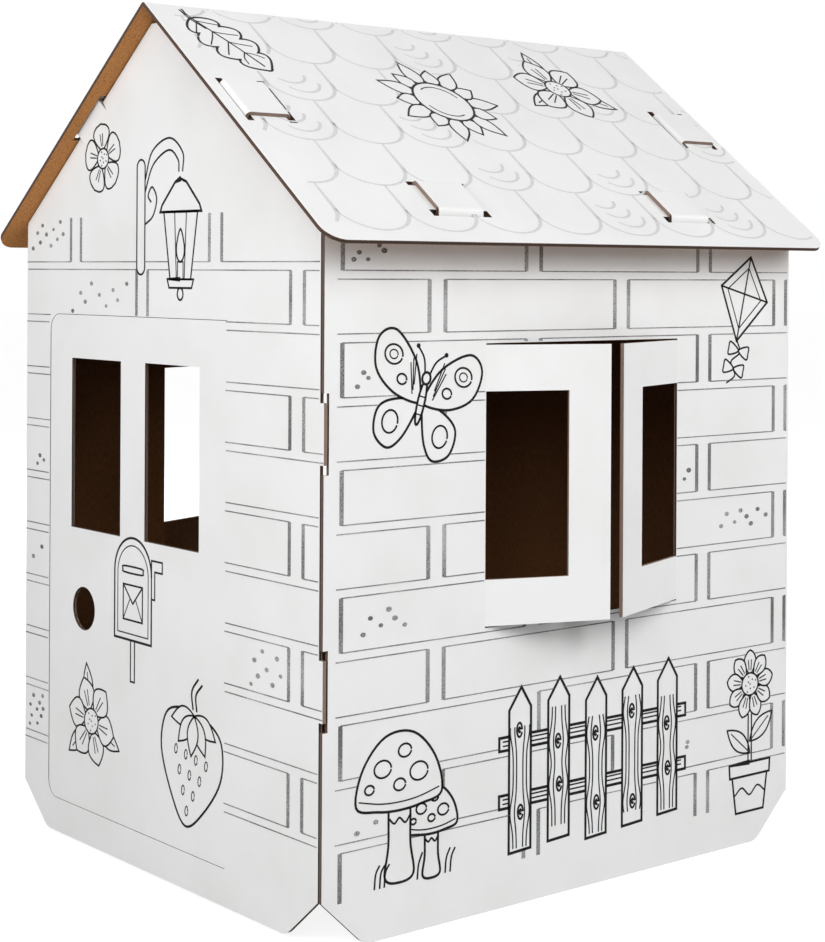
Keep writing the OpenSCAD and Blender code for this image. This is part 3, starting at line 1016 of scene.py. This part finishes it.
def tileStrokes():
    # each tile is a lower half ellipse and the seam that rises from its right end
    strokes = []
    turn = np.linspace(math.pi, 2 * math.pi, tiles["arcPoints"])
    swell = np.clip(np.linspace(tiles["swellFrom"], 1.0, tiles["arcPoints"]), 0, 1) ** tiles["swellPower"]
    arcWidth = tiles["thin"] + (tiles["thick"] - tiles["thin"]) * swell
    seamWidth = np.linspace(tiles["thick"] * tiles["seamWide"], tiles["thin"] * tiles["seamNarrow"],
                            tiles["seamPoints"])
    half = tiles["pitch"] / 2
    for row in range(tiles["rows"]):
        tip = -(tiles["firstTip"] + row * tiles["row"])
        spring = tip + tiles["arc"]
        shift = tiles["shift"] + (0 if row % 2 else half)
        for k in tiles["columns"]:
            right = shift + k * tiles["pitch"]
            middle = right - half
            arc = np.stack([middle + half * np.cos(turn), spring + tiles["arc"] * np.sin(turn)], 1)
            strokes.append(line(arc, arcWidth))
            head = min(spring + tiles["row"] - tiles["arc"], -tiles["seamEnd"])
            rise = np.linspace(spring, head, tiles["seamPoints"])
            strokes.append(line(np.stack([np.full(len(rise), right), rise], 1), seamWidth))
            if (row * 3 + k * 2) % curls["cycle"] in curls["places"]:
                strokes += curlStrokes(middle, tip, 2 + row % 2)
    end = house["roofLength"] / 2
    field = block(tiles["nearMargin"] - end, end - tiles["farMargin"],
                  tiles["eaveMargin"] - house["slopeLength"], -tiles["ridgeMargin"])
    return trimPlain(strokes, field, roofCovers)


print("tile print")
roofTiles = tileStrokes()
printOn("tile_print_right", "rightSlope", roofTiles, tileInk)
printOn("tile_print_left", "leftSlope", roofTiles, tileInk)
printOn("pictures_roof_right", "rightSlope", roofPictures, lineInk)
printOn("pictures_roof_left", "leftSlope", roofPictures, lineInk)


# Camera at the photograph's angle

camera = {
    "place": (2.21364, -1.78490, 0.79850),
    "yaw": 50.917, "pitch": 0.0, "roll": 0.3,
    "focalPx": 1973.33, "horizonPx": 271.83,
    "highPx": 942, "sensorMm": 36.0,
}

print("camera")
yaw, pitch, roll = (math.radians(camera[k]) for k in ("yaw", "pitch", "roll"))
ahead = Vector((-math.sin(yaw) * math.cos(pitch), math.cos(yaw) * math.cos(pitch), math.sin(pitch)))
sideways = Vector((math.cos(yaw), math.sin(yaw), 0))
upright = sideways.cross(ahead)
axisX = sideways * math.cos(roll) + upright * math.sin(roll)
axisY = upright * math.cos(roll) - sideways * math.sin(roll)
lens = bpy.data.cameras.new("photo_camera")
lens.sensor_width = camera["sensorMm"]
lens.lens = lens.sensor_width * camera["focalPx"] / camera["highPx"]
lens.shift_y = (camera["horizonPx"] - camera["highPx"] / 2) / camera["highPx"]
eye = bpy.data.objects.new("photo_camera", lens)
aimed = Matrix((axisX, axisY, -ahead)).transposed().to_4x4()
eye.matrix_world = Matrix.Translation(camera["place"]) @ aimed
bpy.context.scene.collection.objects.link(eye)
bpy.context.scene.camera = eye


# Pale floor, white surroundings and soft lamps

studio = {
    "floor": "#A9A9A9", "floorSize": 60.0, "floorGlow": 0.86,
    "floorRough": 0.9,
    "world": 0.10,          # what the surroundings light the house with; seen straight on they are white
    "aim": (0, 0, 0.6),
    "lamps": {
        "high": {"place": (3.4, -1.2, 3.8), "size": 2.5, "power": 94.0},
        "corner": {"place": (3.2, -3.2, 2.4), "size": 2.5, "power": 51.0},
        "farSide": {"place": (3.2, 3.4, 2.6), "size": 2.5, "power": 114.0},
        "front": {"place": (0.2, -3.0, 1.7), "size": 1.5, "power": 30.0},
        "nearFront": {"place": (0.9, -2.6, 1.3), "size": 1.2, "power": 14.0},
        "backFill": {"place": (-4.2, 2.2, 2.8), "size": 2.5, "power": 110.0},
    },
}

print("studio")
half = studio["floorSize"] / 2
ground = bpy.data.meshes.new("studio_floor")
floorCorners = [(-half, -half, 0), (half, -half, 0), (half, half, 0), (-half, half, 0)]
ground.from_pydata(floorCorners, [], [(0, 1, 2, 3)])
floor = bpy.data.objects.new("studio_floor", ground)
bpy.context.scene.collection.objects.link(floor)
floorPaint = bpy.data.materials.new("pale_studio_floor")
floorPaint.use_nodes = True
tree = floorPaint.node_tree
shader = tree.nodes["Principled BSDF"]
shader.inputs["Roughness"].default_value = studio["floorRough"]
shader.inputs["Base Color"].default_value = fromHex(studio["floor"])
rays = addNode(tree, "ShaderNodeLightPath")
glow = compute(tree, "MULTIPLY", rays.outputs["Is Camera Ray"], studio["floorGlow"])
shine = addNode(tree, "ShaderNodeEmission", {"Strength": glow})
both = addNode(tree, "ShaderNodeAddShader", {0: shader.outputs[0], 1: shine.outputs[0]})
tree.links.new(both.outputs[0], tree.nodes["Material Output"].inputs["Surface"])
ground.materials.append(floorPaint)

sky = bpy.data.worlds.new("white_surroundings")
sky.use_nodes = True
bpy.context.scene.world = sky
tree = sky.node_tree
seen = addNode(tree, "ShaderNodeLightPath")
direct = compute(tree, "MAXIMUM", seen.outputs["Is Camera Ray"], seen.outputs["Is Glossy Ray"])
direct = compute(tree, "MAXIMUM", direct, seen.outputs["Is Transmission Ray"])
strength = addNode(tree, "ShaderNodeMapRange", {"Value": direct}, To_Min=studio["world"], To_Max=1.0)
tree.links.new(strength.outputs[0], tree.nodes["Background"].inputs["Strength"])
tree.nodes["Background"].inputs["Color"].default_value = (1, 1, 1, 1)

for name, setting in studio["lamps"].items():
    lamp = bpy.data.lights.new(name + "_softbox", "AREA")
    lamp.shape = "SQUARE"
    lamp.size = setting["size"]
    lamp.energy = setting["power"]
    holder = bpy.data.objects.new(name + "_softbox", lamp)
    holder.location = setting["place"]
    aim = Vector(studio["aim"]) - Vector(setting["place"])
    holder.rotation_euler = aim.to_track_quat("-Z", "Y").to_euler()
    bpy.context.scene.collection.objects.link(holder)

bpy.context.scene.view_settings.view_transform = "Standard"
